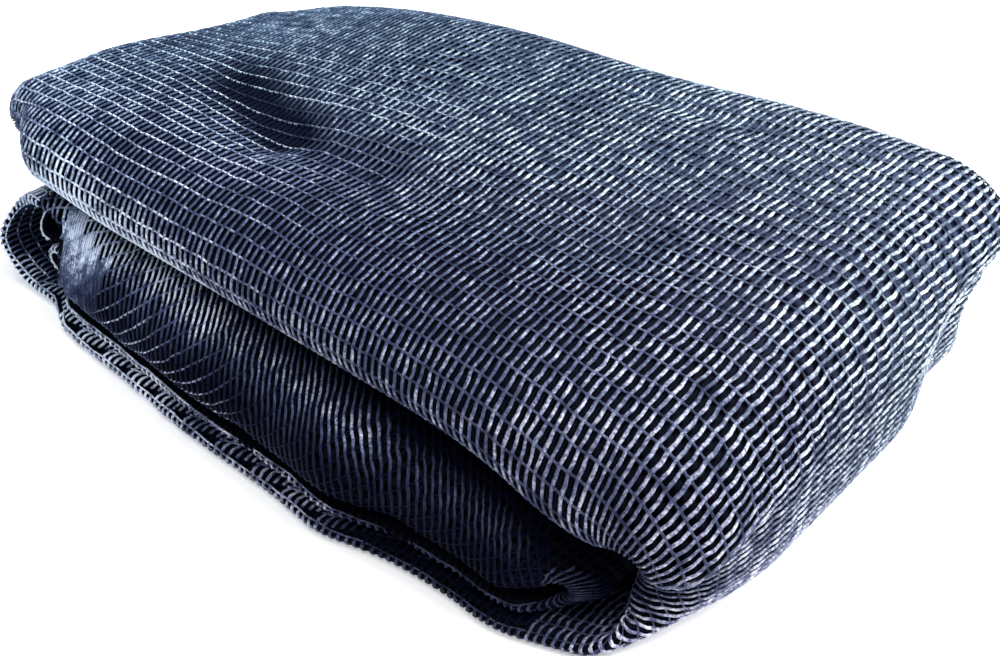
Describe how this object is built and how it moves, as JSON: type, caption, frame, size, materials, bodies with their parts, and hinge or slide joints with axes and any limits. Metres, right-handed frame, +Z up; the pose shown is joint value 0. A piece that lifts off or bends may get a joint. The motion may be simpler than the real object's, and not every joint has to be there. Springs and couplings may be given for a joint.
{
  "type": "pool leaf net",
  "caption": "Pool leaf net of knitted plastic mesh, folded into a long band that lies back and forth in two soft packs, one on the other.",
  "frame": {"origin": "on the surface that the bundle lies on, under the middle of its box", "axes": "+Z up, +X along the bundle's long side towards the end where the outer layer runs round both packs, +Y towards the back"},
  "size_m": [0.4152, 0.279, 0.1007],
  "materials": {
    "net": "dark navy knitted plastic mesh, with paler blue-grey threads and a slight gloss"
  },
  "bodies": {
    "root": {"leaf_net": "net"}
  },
  "joints": []
}
